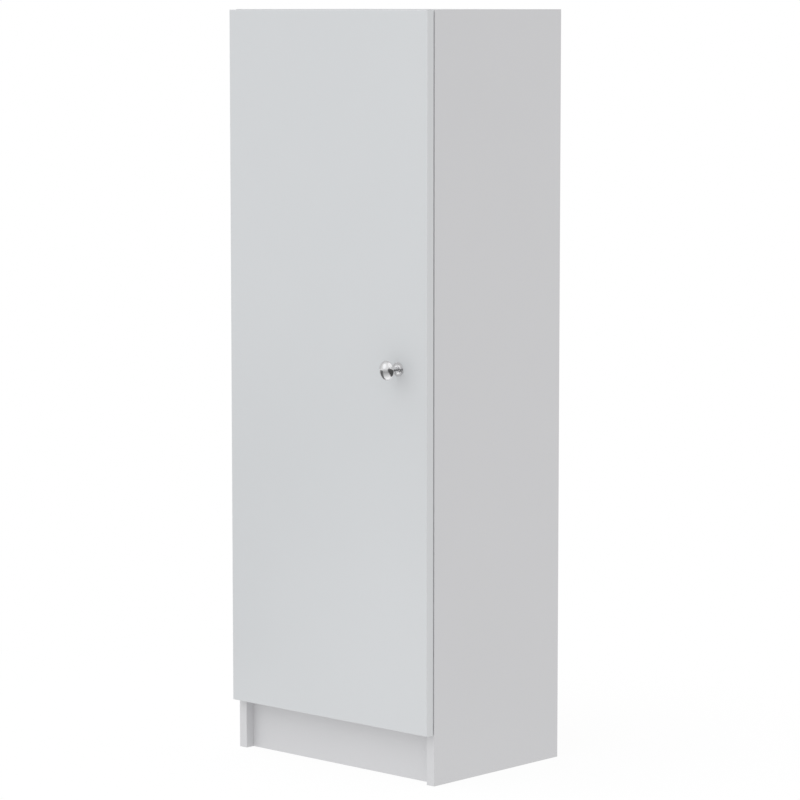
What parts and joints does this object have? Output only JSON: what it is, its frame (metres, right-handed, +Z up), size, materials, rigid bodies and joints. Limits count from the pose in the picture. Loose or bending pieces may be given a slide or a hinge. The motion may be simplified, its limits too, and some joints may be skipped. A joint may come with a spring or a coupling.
{
  "type": "broom cupboard",
  "caption": "Tall narrow white board cupboard: full-height flush door on concealed hinges, round chrome knob, recessed kickboard, loose shelf above a broom space.",
  "frame": {"origin": "on the floor, midway between the sides and midway between the knob's front and the rear edges", "axes": "+X to the right seen from the front, +Y to the back, +Z up"},
  "size_m": [0.6, 0.4742, 1.67],
  "materials": {
    "carcass_board": "white melamine on particle board",
    "door_board": "white melamine on particle board",
    "door_edging": "white plastic edging, rounded",
    "carcass_edging": "white plastic edging",
    "back_sheet": "white coated hardboard",
    "chrome": "polished chrome plate",
    "nickel_steel": "nickel-plated pressed steel",
    "screw_steel": "zinc-plated steel",
    "zinc": "die-cast zinc",
    "beech": "bare beech",
    "white_plastic": "moulded white plastic",
    "magnet_steel": "ferrite magnet between steel keepers",
    "rubber": "translucent rubber pads"
  },
  "bodies": {
    "carcass": {"left_side_panel": "carcass_board", "right_side_panel": "carcass_board", "left_edge_band": "carcass_edging", "right_edge_band": "carcass_edging", "top_panel": "carcass_board", "top_edge_band": "carcass_edging", "bottom_panel": "carcass_board", "bottom_edge_band": "carcass_edging", "kickboard": "carcass_board", "back_panel": "back_sheet", "shelf": "carcass_board", "shelf_edge_band": "carcass_edging", "shelf_pins": "screw_steel", "cam_locks": "zinc", "cam_bolts": "screw_steel", "wooden_dowels": "beech", "hinge_plate_screws": "screw_steel", "hinge_arm_screws": "screw_steel", "catch_body": "white_plastic", "catch_magnet": "magnet_steel", "catch_screws": "screw_steel", "wall_bracket": "screw_steel", "wall_bracket_screws": "screw_steel", "hinge_1_arm": "nickel_steel", "hinge_1_plate": "nickel_steel", "hinge_2_arm": "nickel_steel", "hinge_2_plate": "nickel_steel", "hinge_3_arm": "nickel_steel", "hinge_3_plate": "nickel_steel"},
    "door": {"door_panel": "door_board", "door_edge_band": "door_edging", "hinge_cup_screws": "screw_steel", "knob": "chrome", "knob_base": "chrome", "knob_screw": "screw_steel", "catch_strike": "screw_steel", "strike_screws": "screw_steel", "door_stops": "rubber", "hinge_1_cup": "nickel_steel", "hinge_1_pivot": "nickel_steel", "hinge_2_cup": "nickel_steel", "hinge_2_pivot": "nickel_steel", "hinge_3_cup": "nickel_steel", "hinge_3_pivot": "nickel_steel"}
  },
  "joints": [
    {"name": "door_swing", "type": "hinge", "parent": "carcass", "child": "door", "pos_m": [-0.2917, -0.1851, 0.8905], "axis": [0, 0, -1], "range_deg": [0, 95]}
  ]
}
